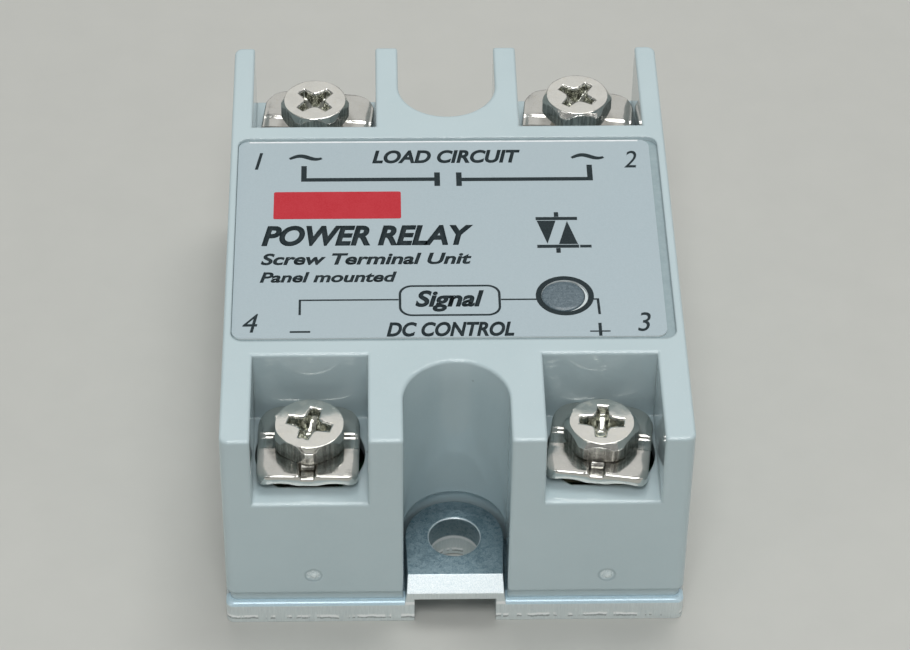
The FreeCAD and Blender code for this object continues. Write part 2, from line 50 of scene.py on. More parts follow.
# ------------------------------------------------------------------ material builder
class Mat:
    """A small helper that writes node materials. Sizes of patterns are given in millimetres."""

    def __init__(self, name, **values):
        self.m = bpy.data.materials.new(name)
        self.m.use_nodes = True
        self.t = self.m.node_tree
        self.b = [n for n in self.t.nodes if n.type == "BSDF_PRINCIPLED"][0]
        for k, v in values.items():
            self.b.inputs[k].default_value = v
        self.co = self.n("ShaderNodeTexCoord").outputs["Object"]
        self.geo = self.n("ShaderNodeNewGeometry")

    def n(self, kind, **props):
        node = self.t.nodes.new(kind)
        for k, v in props.items():
            setattr(node, k, v)
        return node

    def put(self, socket, v):
        if isinstance(v, bpy.types.NodeSocket):
            self.t.links.new(v, socket)
        else:
            if hasattr(socket, "default_value") and hasattr(socket.default_value, "__len__") and not hasattr(v, "__len__"):
                v = (v, v, v)
            if hasattr(v, "__len__") and hasattr(socket.default_value, "__len__") and len(v) == 3 and len(socket.default_value) == 4:
                v = (*v, 1.0)
            socket.default_value = v

    def set(self, name, v):
        self.put(self.b.inputs[name], v)
        return self

    def stretch(self, scale=(1, 1, 1), rot=(0, 0, 0), loc=(0, 0, 0), src=None):
        k = self.n("ShaderNodeMapping")
        self.put(k.inputs["Vector"], src or self.co)
        k.inputs["Location"].default_value = loc
        k.inputs["Rotation"].default_value = rot
        k.inputs["Scale"].default_value = scale
        return k.outputs[0]

    def noise(self, mm, detail=2.0, rough=0.5, distort=0.0, src=None, colour=False):
        k = self.n("ShaderNodeTexNoise")
        self.put(k.inputs["Vector"], src or self.co)
        k.inputs["Scale"].default_value = 1000.0 / mm
        k.inputs["Detail"].default_value = detail
        k.inputs["Roughness"].default_value = rough
        k.inputs["Distortion"].default_value = distort
        return k.outputs["Color" if colour else "Fac"]

    def cells(self, mm, feature="F1", rand=1.0, out="Distance", src=None):
        k = self.n("ShaderNodeTexVoronoi", feature=feature)
        self.put(k.inputs["Vector"], src or self.co)
        k.inputs["Scale"].default_value = 1000.0 / mm
        k.inputs["Randomness"].default_value = rand
        return k.outputs[out]

    def ramp(self, fac, *stops, mode="LINEAR"):
        k = self.n("ShaderNodeValToRGB")
        k.color_ramp.interpolation = mode
        els = k.color_ramp.elements
        while len(els) < len(stops):
            els.new(0.5)
        for e, (p, c) in zip(els, stops):
            e.position = p
            e.color = (c, c, c, 1) if not hasattr(c, "__len__") else (*c[:3], 1)
        self.put(k.inputs[0], fac)
        return k.outputs[0]

    def rng(self, v, a, b, c=0.0, d=1.0, smooth=False):
        k = self.n("ShaderNodeMapRange")
        k.interpolation_type = "SMOOTHSTEP" if smooth else "LINEAR"
        k.clamp = True
        self.put(k.inputs[0], v)
        for i, x in zip((1, 2, 3, 4), (a, b, c, d)):
            self.put(k.inputs[i], x)
        return k.outputs[0]

    def mix(self, fac, a, b, mode="MIX"):
        k = self.n("ShaderNodeMix", data_type="RGBA", blend_type=mode)
        self.put(k.inputs[0], fac)
        self.put(k.inputs[6], a)
        self.put(k.inputs[7], b)
        return k.outputs[2]

    def fmix(self, fac, a, b):
        k = self.n("ShaderNodeMix", data_type="FLOAT")
        self.put(k.inputs[0], fac)
        self.put(k.inputs[2], a)
        self.put(k.inputs[3], b)
        return k.outputs[0]

    def op(self, kind, a, b=0.0, clamp=False):
        k = self.n("ShaderNodeMath", operation=kind)
        k.use_clamp = clamp
        self.put(k.inputs[0], a)
        self.put(k.inputs[1], b)
        return k.outputs[0]

    def axis(self, which, src=None):
        k = self.n("ShaderNodeSeparateXYZ")
        self.put(k.inputs[0], src or self.co)
        return k.outputs[which]

    def normal(self, which):
        k = self.n("ShaderNodeSeparateXYZ")
        tc = self.n("ShaderNodeTexCoord").outputs["Normal"]
        self.put(k.inputs[0], tc)
        return k.outputs[which]

    def soft_edge(self, mm):
        k = self.n("ShaderNodeBevel", samples=6)
        k.inputs["Radius"].default_value = mm * MM
        return k.outputs[0]

    def bump(self, height, strength, mm, under=None):
        k = self.n("ShaderNodeBump")
        k.inputs["Strength"].default_value = strength
        k.inputs["Distance"].default_value = mm * MM
        self.put(k.inputs["Height"], height)
        if under is not None:
            self.put(k.inputs["Normal"], under)
        return k.outputs[0]


def paint(obj, mat):
    obj.data.materials.clear()
    obj.data.materials.append(mat.m if isinstance(mat, Mat) else mat)


# ------------------------------------------------------------------ materials
def housing_plastic():
    m = Mat("moulded_grey_plastic")
    big = m.noise(9.0, 3, 0.55)
    fine = m.noise(0.35, 3, 0.6)
    col = m.mix(m.rng(big, 0.35, 0.65), (0.488, 0.597, 0.628), (0.515, 0.624, 0.656))
    col = m.mix(m.rng(fine, 0.3, 0.7), col, m.mix(0.5, col, (0.52, 0.62, 0.645)))
    # dust specks caught in the surface
    dust = m.cells(1.9)
    pale = m.op("MULTIPLY", m.rng(m.cells(0.55), 0.07, 0.13, 1.0, 0.0), m.rng(m.cells(0.55, out="Color"), 0.62, 0.66))
    col = m.mix(m.op("MULTIPLY", pale, 0.30), col, (0.72, 0.80, 0.82))
    speck = m.rng(dust, 0.045, 0.075, 1.0, 0.0)
    rare = m.rng(m.cells(1.9, out="Color"), 0.80, 0.82)
    col = m.mix(m.op("MULTIPLY", m.op("MULTIPLY", speck, rare), 0.35), col, (0.20, 0.22, 0.22))
    # painted shade: the floor of the label's recess is darkened in patches
    flat = m.rng(m.normal(2), 0.80, 0.95)
    label_recess_shade = m.op("MULTIPLY", m.rng(m.axis(2), 0.02405, 0.02415), m.rng(m.axis(2), 0.02430, 0.02440, 1.0, 0.0))
    label_recess_shade = m.op("MULTIPLY", m.op("MULTIPLY", label_recess_shade, flat), m.rng(m.noise(1.1, 4, 0.7), 0.25, 0.60, 0.75, 1.0))
    col = m.mix(label_recess_shade, col, (0.300, 0.385, 0.410))
    # rough pale spots left by the moulding gates on the front face
    front = m.rng(m.axis(1), -0.0298, -0.0299)
    for gx, gz in ((-0.0139, 0.0063), (0.0148, 0.00605)):
        dx = m.op("SUBTRACT", m.axis(0), gx)
        dz = m.op("SUBTRACT", m.axis(2), gz)
        rad = m.op("SQRT", m.op("ADD", m.op("MULTIPLY", dx, dx), m.op("MULTIPLY", dz, dz)))
        rad = m.op("ADD", rad, m.op("MULTIPLY", m.op("SUBTRACT", m.noise(0.5, 4, 0.7), 0.5), 0.0007))
        spot = m.op("MULTIPLY", m.rng(rad, 0.00058, 0.00074, 1.0, 0.0), front)
        col = m.mix(m.op("MULTIPLY", spot, m.rng(m.noise(0.22, 4, 0.75), 0.36, 0.58)), col, (0.80, 0.88, 0.89))
    m.set("Base Color", col)
    m.set("Roughness", m.fmix(m.rng(m.noise(3.0, 4, 0.6), 0.35, 0.65), 0.035, 0.075))
    m.set("IOR", 1.54)
    m.set("Subsurface Weight", 0.0)
    peel = m.bump(m.noise(1.3, 2, 0.5), 0.16, 0.012, m.soft_edge(0.34))
    m.set("Normal", m.bump(m.noise(0.16, 2, 0.6), 0.10, 0.003, peel))
    return m


def label_film():
    m = Mat("satin_label_film")
    grain = m.noise(0.16, 4, 0.65)
    wide = m.noise(14.0, 2, 0.5)
    col = m.mix(m.rng(grain, 0.3, 0.7), (0.396, 0.482, 0.522), (0.438, 0.524, 0.566))
    col = m.mix(m.op("MULTIPLY", m.rng(wide, 0.35, 0.65), 0.4), col, (0.43, 0.51, 0.54))
    # the film's clear cut edge carries a painted highlight: its vertical faces are coloured pale
    side = m.rng(m.op("ABSOLUTE", m.normal(2)), 0.35, 0.6, 1.0, 0.0)
    col = m.mix(side, col, (0.80, 0.84, 0.84))
    m.set("Base Color", col)
    m.set("Roughness", m.fmix(m.rng(m.noise(1.6, 3, 0.6), 0.3, 0.7), 0.34, 0.44))
    m.set("IOR", 1.49)
    m.set("Normal", m.bump(grain, 0.25, 0.006))
    return m


def ink(name, colour, light):
    m = Mat(name)
    g = m.noise(0.10, 3, 0.6)
    wide = m.noise(2.4, 2, 0.5)
    col = m.mix(m.rng(g, 0.40, 0.75), colour, light)
    col = m.mix(m.op("MULTIPLY", m.rng(wide, 0.45, 0.7), 0.30), col, light)
    m.set("Base Color", col)
    m.set("Roughness", m.fmix(g, 0.50, 0.62))
    m.set("Specular IOR Level", 0.18)
    m.set("Normal", m.bump(g, 0.2, 0.004))
    return m


def zinc_steel():
    m = Mat("zinc_plated_steel")
    z = m.axis(2)
    # crystalline zinc speckle on the rolled faces
    warp = m.mix(0.12, m.co, m.noise(0.8, 2, 0.6, colour=True), "ADD")
    cell = m.cells(0.30, out="Color")
    cval = m.axis(0, cell)
    fine = m.noise(0.11, 4, 0.75)
    cloud = m.noise(3.2, 3, 0.6)
    rolled = m.mix(m.rng(cval, 0.0, 1.0), (0.150, 0.240, 0.290), (0.33, 0.43, 0.48))
    rolled = m.mix(m.rng(fine, 0.42, 0.75), rolled, (0.46, 0.57, 0.62))
    rolled = m.mix(m.op("MULTIPLY", m.rng(cloud, 0.4, 0.65), 0.35), rolled, (0.30, 0.40, 0.45))
    # sheared edge: burnished band low down, torn above, fine vertical drag lines
    drag = m.noise(0.14, 3, 0.6, src=m.stretch((1, 1, 0.08)))
    torn = m.noise(0.35, 4, 0.7)
    edge = m.mix(m.rng(drag, 0.3, 0.7), (0.62, 0.69, 0.70), (0.78, 0.85, 0.85))
    edge = m.mix(m.rng(torn, 0.42, 0.62), edge, (0.70, 0.76, 0.76))
    level = m.op("ADD", z, m.op("MULTIPLY", m.op("SUBTRACT", m.noise(1.3, 4, 0.7), 0.5), 0.0006))
    burn = m.op("MULTIPLY", m.rng(level, 0.00062, 0.00072), m.rng(level, 0.00092, 0.00104, 1.0, 0.0))
    broken = m.rng(m.noise(1.1, 3, 0.6, src=m.stretch((1, 1, 0.2))), 0.44, 0.50)
    burn = m.op("MULTIPLY", burn, broken)
    edge = m.mix(burn, edge, (0.97, 1.0, 1.0))
    # painted highlight: a near-white line along the top of the cut face
    edge = m.mix(m.op("MULTIPLY", m.rng(level, 0.00222, 0.00246), m.rng(z, 0.00262, 0.00275, 1.0, 0.0)), edge, (0.98, 1.0, 1.0))
    under = m.op("MULTIPLY", m.rng(level, 0.00040, 0.00050), m.rng(level, 0.00060, 0.00068, 1.0, 0.0))
    edge = m.mix(m.op("MULTIPLY", m.op("MULTIPLY", under, broken), 0.7), edge, (0.22, 0.24, 0.24))
    side = m.rng(m.op("ABSOLUTE", m.normal(2)), 0.16, 0.34, 1.0, 0.0)
    low = m.rng(z, 0.00262, 0.00285, 1.0, 0.0)
    low = m.op("MAXIMUM", low, m.rng(m.op("ABSOLUTE", m.axis(1)), 0.02990, 0.03005))
    side = m.op("MULTIPLY", side, low)
    # painted highlight: sloped bevel faces of the rolled plate are coloured near white, with less metal and a fixed
    # roughness
    bevel_highlight = m.op("MULTIPLY", m.rng(m.normal(2), 0.45, 0.60), m.rng(m.normal(2), 0.86, 0.95, 1.0, 0.0))
    rolled = m.mix(bevel_highlight, rolled, m.mix(m.rng(fine, 0.35, 0.7), (0.62, 0.72, 0.76), (0.97, 1.0, 1.0)))
    # painted reflection: the plate's rolled lip at front and rear is coloured light blue, as if mirroring the sky, with
    # less metal
    lip = m.op("MULTIPLY", m.rng(m.op("ABSOLUTE", m.axis(1)), 0.0286, 0.0288), m.rng(z, 0.0029, 0.0027))
    rolled = m.mix(lip, rolled, m.mix(m.rng(fine, 0.4, 0.7), (0.56, 0.74, 0.84), (0.70, 0.86, 0.94)))
    m.set("Base Color", m.mix(side, rolled, edge))
    m.set("Metallic", m.fmix(side, m.fmix(lip, m.fmix(bevel_highlight, 0.86, 0.55), 0.25), m.fmix(burn, 0.22, 0.0)))
    rr = m.fmix(m.rng(cval, 0.0, 1.0), 0.36, 0.52)
    re = m.fmix(m.rng(torn, 0.35, 0.65), 0.30, 0.46)
    re = m.fmix(burn, re, 0.16)
    m.set("Roughness", m.fmix(side, m.fmix(bevel_highlight, rr, 0.36), re))
    b1 = m.bump(m.axis(1, cell), 0.45, 0.010, m.soft_edge(0.12))
    b2 = m.bump(fine, 0.35, 0.008, b1)
    b3 = m.bump(m.op("MULTIPLY", drag, side), 0.5, 0.02, b2)
    m.set("Normal", b3)
    return m


def nickel(name, tone, rough=(0.12, 0.24), scratch=0.25, dirt=0.25, drag=0.0, recess=None):
    m = Mat(name)
    cloud = m.noise(1.7, 4, 0.6)
    fine = m.noise(0.16, 4, 0.7)
    stain = m.noise(0.75, 5, 0.7)
    a = tuple(tone)
    dk = tuple(c * 0.80 for c in tone)
    warm = (tone[0] * 0.97, tone[1] * 0.92, tone[2] * 0.82)
    col = m.mix(m.rng(cloud, 0.35, 0.65), a, tuple(c * 0.93 for c in tone))
    col = m.mix(m.op("MULTIPLY", m.rng(stain, 0.52, 0.68), dirt), col, warm)
    col = m.mix(m.op("MULTIPLY", m.rng(fine, 0.55, 0.75), dirt), col, dk)
    if recess:
        # painted shade and reflection: vertices marked by the recess attribute get dark colours, the shaded cross
        # recess on screws and the head's mirrored image on washers
        at = m.n("ShaderNodeAttribute", attribute_name="recess").outputs["Fac"]
        painted_shade_and_reflection = m.mix(m.rng(m.noise(0.45, 3, 0.6), 0.35, 0.65), *recess)
        col = m.mix(at, col, painted_shade_and_reflection)
    m.set("Base Color", col)
    m.set("Metallic", 1.0)
    r = m.fmix(m.rng(cloud, 0.35, 0.65), rough[0], rough[1])
    r = m.op("ADD", r, m.op("MULTIPLY", m.rng(stain, 0.5, 0.7), 0.10))
    m.set("Roughness", r)
    lines = m.noise(0.10, 2, 0.5, src=m.stretch((1.0, 0.06, 0.06), rot=(0, 0, 0.5)))
    lines2 = m.noise(0.12, 2, 0.5, src=m.stretch((0.06, 1.0, 0.06), rot=(0, 0, 1.2)))
    h = m.op("ADD", m.rng(lines, 0.62, 0.72), m.rng(lines2, 0.64, 0.74))
    b = m.bump(m.noise(0.9, 3, 0.6), 0.18, 0.03)
    b = m.bump(fine, 0.18, 0.006, b)
    b = m.bump(h, scratch, 0.006, b)
    if drag:
        v = m.noise(0.24, 4, 0.65, src=m.stretch((1.0, 1.0, 0.06)))
        flat = m.rng(m.op("ABSOLUTE", m.normal(2)), 0.15, 0.35, 1.0, 0.0)
        b = m.bump(m.op("MULTIPLY", v, flat), drag, 0.10, b)
        col = m.mix(m.op("MULTIPLY", m.rng(v, 0.45, 0.60, 1.0, 0.0), m.op("MULTIPLY", flat, 0.6)), col, tuple(c * 0.30 for c in tone))
        m.set("Base Color", col)
    m.set("Normal", b)
    return m


def window_plastic():
    m = Mat("smoked_window_plastic")
    mott = m.noise(0.32, 5, 0.72, 0.4)
    fine = m.noise(0.10, 3, 0.7)
    col = m.mix(m.rng(mott, 0.36, 0.66), (0.045, 0.080, 0.102), (0.125, 0.175, 0.207))
    col = m.mix(m.op("MULTIPLY", m.rng(fine, 0.5, 0.75), 0.5), col, (0.30, 0.36, 0.39))
    m.set("Base Color", col)
    m.set("Roughness", m.fmix(m.rng(mott, 0.3, 0.7), 0.30, 0.5))
    m.set("Coat Weight", 0.35)
    m.set("Coat Roughness", 0.12)
    m.set("Normal", m.bump(mott, 0.5, 0.03))
    return m


def simple(name, a, b, mm, rough, metal=0.0, bump=0.2, depth=0.02, detail=3.0):
    m = Mat(name)
    f = m.noise(mm, detail, 0.6)
    g = m.noise(mm * 0.13, 3, 0.6)
    m.set("Base Color", m.mix(m.rng(f, 0.33, 0.67), a, b))
    m.set("Metallic", metal)
    m.set("Roughness", m.fmix(m.rng(g, 0.3, 0.7), rough[0], rough[1]))
    m.set("Normal", m.bump(g, bump, depth))
    return m


def board_laminate():
    m = Mat("glass_epoxy_laminate")
    w1 = m.n("ShaderNodeTexWave", wave_type="BANDS", bands_direction="X")
    m.put(w1.inputs["Vector"], m.co); w1.inputs["Scale"].default_value = 320; w1.inputs["Distortion"].default_value = 0.6
    w2 = m.n("ShaderNodeTexWave", wave_type="BANDS", bands_direction="Y")
    m.put(w2.inputs["Vector"], m.co); w2.inputs["Scale"].default_value = 320; w2.inputs["Distortion"].default_value = 0.6
    weave = m.op("MULTIPLY", w1.outputs["Fac"], w2.outputs["Fac"])
    m.set("Base Color", m.mix(weave, (0.040, 0.215, 0.100), (0.070, 0.290, 0.145)))
    m.set("Roughness", m.fmix(m.noise(0.5, 3, 0.6), 0.35, 0.55))
    m.set("Normal", m.bump(weave, 0.2, 0.02))
    return m


def resistor_body():
    m = Mat("banded_resistor_lacquer")
    x = m.axis(0)
    rings = m.noise(1.1, 0, 0.5, src=m.stretch((1, 0, 0)))
    band = m.rng(rings, 0.56, 0.575)
    f = m.noise(0.6, 3, 0.6)
    col = m.mix(m.rng(f, 0.3, 0.7), (0.52, 0.42, 0.27), (0.60, 0.50, 0.33))
    m.set("Base Color", m.mix(band, col, (0.16, 0.05, 0.03)))
    m.set("Roughness", m.fmix(f, 0.28, 0.42))
    m.set("Normal", m.bump(f, 0.15, 0.02))
    return m


MATS = {
    "housing_plastic": housing_plastic(),
    "label_film": label_film(),
    "zinc_steel": zinc_steel(),
    # the recess= colours paint shade into the screws' cross recesses and the dark reflected head round the washers'
    # holes
    "nickel_washer": nickel("nickel_plated_washer", (0.640, 0.632, 0.600), (0.06, 0.15), 0.25, 0.25, recess=((0.20, 0.195, 0.175), (0.34, 0.33, 0.30))),
    "nickel_screw": nickel("nickel_plated_screw", (0.80, 0.79, 0.745), (0.10, 0.20), 0.35, 0.35, drag=0.8, recess=((0.27, 0.28, 0.24), (0.60, 0.60, 0.54))),
    "window_plastic": window_plastic(),
    "terminal_brass": simple("plated_brass_terminal", (0.70, 0.64, 0.48), (0.74, 0.69, 0.53), 1.6, (0.24, 0.38), 1.0, 0.25, 0.01),
    "board_laminate": board_laminate(),
    "component_black": simple("moulded_epoxy_black", (0.022, 0.022, 0.024), (0.035, 0.035, 0.037), 0.7, (0.45, 0.62), 0.0, 0.4, 0.02),
    "ceramic_white": simple("pressed_ceramic_white", (0.70, 0.69, 0.66), (0.78, 0.77, 0.74), 1.2, (0.55, 0.7), 0.0, 0.3, 0.02),
    "capacitor_box": simple("film_capacitor_box", (0.74, 0.61, 0.13), (0.80, 0.68, 0.17), 2.0, (0.32, 0.45), 0.0, 0.2, 0.02),
    "resistor_body": resistor_body(),
    "led_red": simple("diffused_red_lens", (0.50, 0.028, 0.028), (0.60, 0.05, 0.045), 1.4, (0.20, 0.32), 0.0, 0.15, 0.01),
    "potting_grey": simple("potting_resin_grey", (0.075, 0.078, 0.080), (0.115, 0.118, 0.12), 2.6, (0.32, 0.5), 0.0, 0.35, 0.08),
}

for row in frame["record"]["subparts"]:
    paint(NODES[row["node"]], MATS[row["material_slot"]])


# ------------------------------------------------------------------ shape helpers
def add_mesh(name, bm, mat, body=ROOT, smooth_deg=None):
    me = bpy.data.meshes.new(name)
    bmesh.ops.recalc_face_normals(bm, faces=bm.faces)
    bm.to_mesh(me)
    bm.free()
    o = bpy.data.objects.new(name, me)
    SCENE.collection.objects.link(o)
    paint(o, mat)
    if smooth_deg is not None:
        shade(o, smooth_deg)
    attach(o, body)
    return o


def shade(o, deg):
    me = o.data
    me.polygons.foreach_set("use_smooth", [True] * len(me.polygons))
    bm = bmesh.new()
    bm.from_mesh(me)
    lim = math.radians(deg)
    for e in bm.edges:
        e.smooth = not (len(e.link_faces) == 2 and e.calc_face_angle(0) > lim)
    bm.to_mesh(me)
    bm.free()


def prism(bm, loop, z0, z1):
    """Closed prism over a flat loop of (x, y), millimetres."""
    a = [bm.verts.new((x * MM, y * MM, z0 * MM)) for x, y in loop]
    b = [bm.verts.new((x * MM, y * MM, z1 * MM)) for x, y in loop]
    n = len(loop)
    bm.faces.new(b)
    bm.faces.new(list(reversed(a)))
    for i in range(n):
        j = (i + 1) % n
        bm.faces.new((a[i], a[j], b[j], b[i]))


def band(bm, outer, inner, z0, z1):
    """Closed ring between two loops with the same number of points."""
    n = len(outer)
    v = [[bm.verts.new((x * MM, y * MM, z * MM)) for x, y in loop] for loop in (outer, inner) for z in (z0, z1)]
    o0, o1, i0, i1 = v
    for i in range(n):
        j = (i + 1) % n
        bm.faces.new((o0[i], o0[j], o1[j], o1[i]))
        bm.faces.new((i0[j], i0[i], i1[i], i1[j]))
        bm.faces.new((o1[i], o1[j], i1[j], i1[i]))
        bm.faces.new((o0[j], o0[i], i0[i], i0[j]))


def rect(x0, y0, x1, y1):
    return [(x0, y0), (x1, y0), (x1, y1), (x0, y1)]


def rrect(x0, y0, x1, y1, r, n=10):
    out = []
    for cx, cy, a0 in ((x1 - r, y1 - r, 0), (x0 + r, y1 - r, 90), (x0 + r, y0 + r, 180), (x1 - r, y0 + r, 270)):
        for i in range(n + 1):
            a = math.radians(a0 + 90 * i / n)
            out.append((cx + r * math.cos(a), cy + r * math.sin(a)))
    return out


def stroke(points, widths):
    """Outline of a line of varying width through points."""
    left, right = [], []
    n = len(points)
    for i, (x, y) in enumerate(points):
        x0, y0 = points[max(0, i - 1)]
        x1, y1 = points[min(n - 1, i + 1)]
        dx, dy = x1 - x0, y1 - y0
        l = math.hypot(dx, dy) or 1
        w = widths[i] / 2 if hasattr(widths, "__len__") else widths / 2
        left.append((x - dy / l * w, y + dx / l * w))
        right.append((x + dy / l * w, y - dx / l * w))
    return right + left[::-1]


# ------------------------------------------------------------------ printed graphics
PRINT_LO = 24.42 + 0.004
PRINT_HI = 24.42 + 0.016
INK = ink("print_ink_dark", (0.011, 0.020, 0.024), (0.030, 0.046, 0.052))
RED = ink("print_ink_red", (0.50, 0.024, 0.036), (0.56, 0.050, 0.066))


def letters(name, words, x0, x1, y0, cap, weight=0.0, lean=0.0, mat=None):
    """Generic words set in Blender's own font, from x0 to x1 (mm) with baseline y0 and capital height cap."""
    cu = bpy.data.curves.new(name + "_font", "FONT")
    cu.body = words
    cu.size = 1.0
    cu.shear = lean
    cu.offset = weight
    cu.extrude = 0.0
    cu.resolution_u = 6
    cu.fill_mode = "BOTH"
    t = bpy.data.objects.new(name + "_font", cu)
    SCENE.collection.objects.link(t)
    bpy.context.view_layer.update()
    dg = bpy.context.evaluated_depsgraph_get()
    me = bpy.data.meshes.new_from_object(t.evaluated_get(dg))
    # height of a capital in this font
    cu.body = "H"
    bpy.context.view_layer.update()
    dg = bpy.context.evaluated_depsgraph_get()
    ref = bpy.data.meshes.new_from_object(t.evaluated_get(dg))
    caph = max(v.co.y for v in ref.vertices) - min(v.co.y for v in ref.vertices)
    bpy.data.meshes.remove(ref)
    bpy.data.objects.remove(t)
    bpy.data.curves.remove(cu)
    xs = [v.co.x for v in me.vertices]
    base = -weight
    sx = (x1 - x0) / (max(xs) - min(xs))
    sy = cap / caph
    bm = bmesh.new()
    bm.from_mesh(me)
    bpy.data.meshes.remove(me)
    bmesh.ops.remove_doubles(bm, verts=bm.verts, dist=1e-5)
    for v in bm.verts:
        v.co = Vector(((x0 + (v.co.x - min(xs)) * sx) * MM, (y0 + (v.co.y - base) * sy) * MM, PRINT_LO * MM))
    loose = [v for v in bm.verts if not v.link_faces]
    bmesh.ops.delete(bm, geom=loose, context="VERTS")
    for f in bm.faces:
        if f.normal.z < 0:
            f.normal_flip()
    ret = bmesh.ops.extrude_face_region(bm, geom=list(bm.faces))
    up = [g for g in ret["geom"] if isinstance(g, bmesh.types.BMVert)]
    bmesh.ops.translate(bm, verts=up, vec=Vector((0, 0, (PRINT_HI - PRINT_LO) * MM)))
    return add_mesh(name, bm, mat or INK)


def graphics():
    lo, hi = PRINT_LO, PRINT_HI
    # terminal numbers, as on a dial
    for name, s, cx, cy, w in (("print_number_1", "1", -19.55, 11.35, 0.80), ("print_number_2", "2", 18.75, 11.35, 1.36),
                               ("print_number_3", "3", 18.62, -13.40, 1.36), ("print_number_4", "4", -19.90, -13.25, 1.50)):
        letters(name, s, cx - w / 2, cx + w / 2, cy - 1.32, 2.64, 0.0, 0.22)
    # alternating-current signs
    for name, cx, cy in (("print_ac_sign_1", -14.75, 11.98), ("print_ac_sign_2", 14.35, 11.92)):
        pts, ws = [], []
        for i in range(33):
            u = i / 32
            pts.append((cx - 1.66 + 3.32 * u, cy - 0.10 + 0.30 * math.sin(2 * math.pi * u * 0.96 - 0.35) + 0.16 * (u - 0.5)))
            ws.append(0.56 - 0.26 * abs(2 * u - 1) ** 2)
        bm = bmesh.new()
        prism(bm, stroke(pts, ws), lo, hi)
        add_mesh(name, bm, INK)
    letters("print_load_caption", "LOAD CIRCUIT", -7.9, 7.4, 10.93, 2.04, 0.036, 0.24)
    # load circuit: two leads and a normally open contact
    bm = bmesh.new()
    w = 0.27
    prism(bm, [(-15.18, 10.55), (-14.62, 10.55), (-14.62, 8.62), (-1.54, 8.62), (-1.54, 9.42), (-0.96, 9.42), (-0.96, 7.28), (-1.54, 7.28), (-1.54, 8.08), (-15.18, 8.08)][::-1], lo, hi)
    add_mesh("print_load_lead_1", bm, INK)
    bm = bmesh.new()
    prism(bm, [(14.74, 10.50), (14.18, 10.50), (14.18, 8.55), (1.27, 8.55), (1.27, 9.40), (0.70, 9.40), (0.70, 7.26), (1.27, 7.26), (1.27, 8.01), (14.74, 8.01)], lo, hi)
    add_mesh("print_load_lead_2", bm, INK)
    # painted highlight: a pale strip along the film's rear cut edge stands in for the light it catches
    bm = bmesh.new()
    prism(bm, rect(-20.6, 14.26, 19.7, 14.48), lo, hi)
    add_mesh("label_rear_edge_highlight", bm, simple("label_edge_highlight_paint", (0.80, 0.84, 0.86), (0.92, 0.94, 0.95), 1.5, (0.25, 0.4)))
    # a plain red bar
    bm = bmesh.new()
    prism(bm, rrect(-17.92, 2.24, -5.00, 6.44, 0.22), lo, hi)
    add_mesh("print_red_bar", bm, RED)
    letters("print_caption_large", "POWER RELAY", -19.05, 2.25, -1.86, 3.03, 0.040, 0.26)
    letters("print_caption_middle", "Screw Terminal Unit", -19.05, 1.98, -4.72, 1.70, 0.030, 0.24)
    letters("print_caption_small", "Panel mounted", -19.1, -5.5, -7.33, 1.52, 0.030, 0.24)
    # symbol of an electronic switch, two opposed arrows between bars with a control lead
    bm = bmesh.new()
    x0, x1, y0, y1 = 7.7, 13.7, -2.4, 2.3
    prism(bm, rect(x0 + 0.9, y1 - 0.46, x1 - 0.9, y1), lo, hi)
    prism(bm, rect(x0 + 0.9, y0, x1 - 0.9, y0 + 0.46), lo, hi)
    prism(bm, [(x0 + 1.0, y1 - 0.56), (x0 + 2.9, y1 - 0.56), (x0 + 1.95, y0 + 0.62)][::-1], lo, hi)
    prism(bm, [(x1 - 1.0, y0 + 0.56), (x1 - 2.9, y0 + 0.56), (x1 - 1.95, y1 - 0.62)][::-1], lo, hi)
    prism(bm, rect(x1 - 0.8, y0 + 0.02, x1 + 0.35, y0 + 0.42), lo, hi)
    prism(bm, rect((x0 + x1) / 2 - 0.22, y1 + 0.05, (x0 + x1) / 2 + 0.22, y1 + 0.75), lo, hi)
    prism(bm, rect((x0 + x1) / 2 - 0.22, y0 - 0.75, (x0 + x1) / 2 + 0.22, y0 - 0.05), lo, hi)
    add_mesh("print_switch_symbol", bm, INK)
    # control circuit: rounded box, leads, ring round the indicator
    bm = bmesh.new()
    band(bm, rrect(-5.36, -12.36, 4.68, -7.86, 1.30, 10), rrect(-5.12, -12.12, 4.44, -8.10, 1.08, 10), lo, hi)
    add_mesh("print_control_box", bm, INK)
    letters("print_control_word", "Signal", -3.75, 3.05, -11.02, 2.36, 0.034, 0.26)
    bm = bmesh.new()
    prism(bm, [(-15.20, -12.10), (-14.97, -12.10), (-14.97, -10.06), (-5.38, -10.06), (-5.38, -9.86), (-15.20, -9.86)], lo, hi)
    add_mesh("print_control_lead_1", bm, INK)
    bm = bmesh.new()
    prism(bm, rect(4.70, -10.13, 8.20, -9.93), lo, hi)
    add_mesh("print_control_lead_2", bm, INK)
    bm = bmesh.new()
    prism(bm, [(13.84, -10.16), (14.13, -10.16), (14.19, -12.26), (14.44, -12.26), (14.38, -9.96), (13.84, -9.96)], lo, hi)
    add_mesh("print_control_lead_3", bm, INK)
    n = 96
    cx, cy = 11.02, -9.54
    bm = bmesh.new()
    band(bm, [(cx + 2.87 * math.cos(2 * math.pi * i / n), cy + 2.87 * math.sin(2 * math.pi * i / n)) for i in range(n)],
         [(cx + 2.31 * math.cos(2 * math.pi * i / n), cy + 2.31 * math.sin(2 * math.pi * i / n)) for i in range(n)], lo, hi)
    add_mesh("print_indicator_ring", bm, INK)
